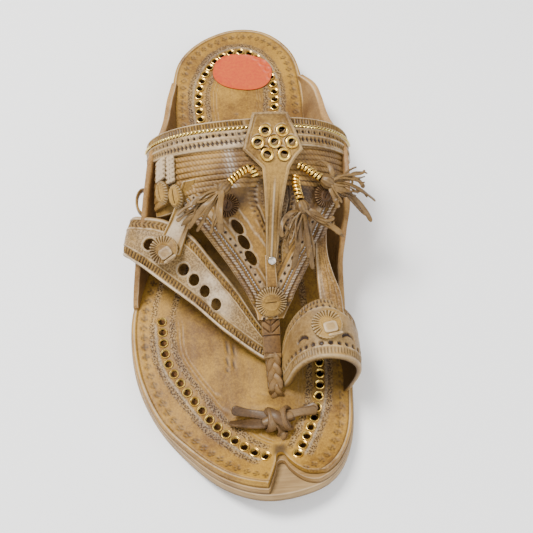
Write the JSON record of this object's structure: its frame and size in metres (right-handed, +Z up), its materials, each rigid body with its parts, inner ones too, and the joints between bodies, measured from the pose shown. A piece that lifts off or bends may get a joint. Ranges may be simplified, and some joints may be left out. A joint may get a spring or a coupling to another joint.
{
  "type": "kolhapuri sandal",
  "caption": "Flat leather toe-ring sandal with a stacked heel, curled notched toe, ribbed instep band, throat panel, side ears, rosettes and tassels; for a right foot.",
  "frame": {"origin": "on the floor under the ball of the foot, on the outsole's flat forefoot", "axes": "+X to the big-toe side, +Y to the heel, +Z up"},
  "size_m": [0.122, 0.2716, 0.0737],
  "materials": {
    "footbed_leather": "tooled vegetable-tanned leather, satin, darker in the stamped marks",
    "sole_leather": "plain sole leather, matt",
    "edge_leather": "cut leather edge, burnished",
    "strap_leather": "strap leather with punched marks and worn metallic thread",
    "trim_leather": "folded and serrated trim leather",
    "fringe_leather": "cut leather strips, satin",
    "brass": "polished brass, lightly worn"
  },
  "bodies": {
    "root": {"centre_ornament": "trim_leather", "heel_lift": "sole_leather", "insole": "footbed_leather", "midsole": "edge_leather", "ornament_eyelet_1": "brass", "ornament_eyelet_2": "brass", "ornament_eyelet_3": "brass", "ornament_eyelet_4": "brass", "ornament_eyelet_5": "brass", "ornament_eyelet_6": "brass", "ornament_eyelet_7": "brass", "outsole": "sole_leather", "panel_rosette_inner": "trim_leather", "panel_rosette_outer": "trim_leather", "ring_rosette": "trim_leather", "side_roll_1": "trim_leather", "side_roll_2": "trim_leather", "strap_rosette": "trim_leather", "tassel_inner_front": "fringe_leather", "tassel_inner_front_coil": "brass", "tassel_inner_rear": "fringe_leather", "tassel_inner_rear_coil": "brass", "tassel_outer": "fringe_leather", "tassel_outer_coil": "brass", "throat_rosette": "trim_leather", "toe_knot": "trim_leather", "toe_post_braid": "trim_leather", "upper": "strap_leather"}
  },
  "joints": []
}
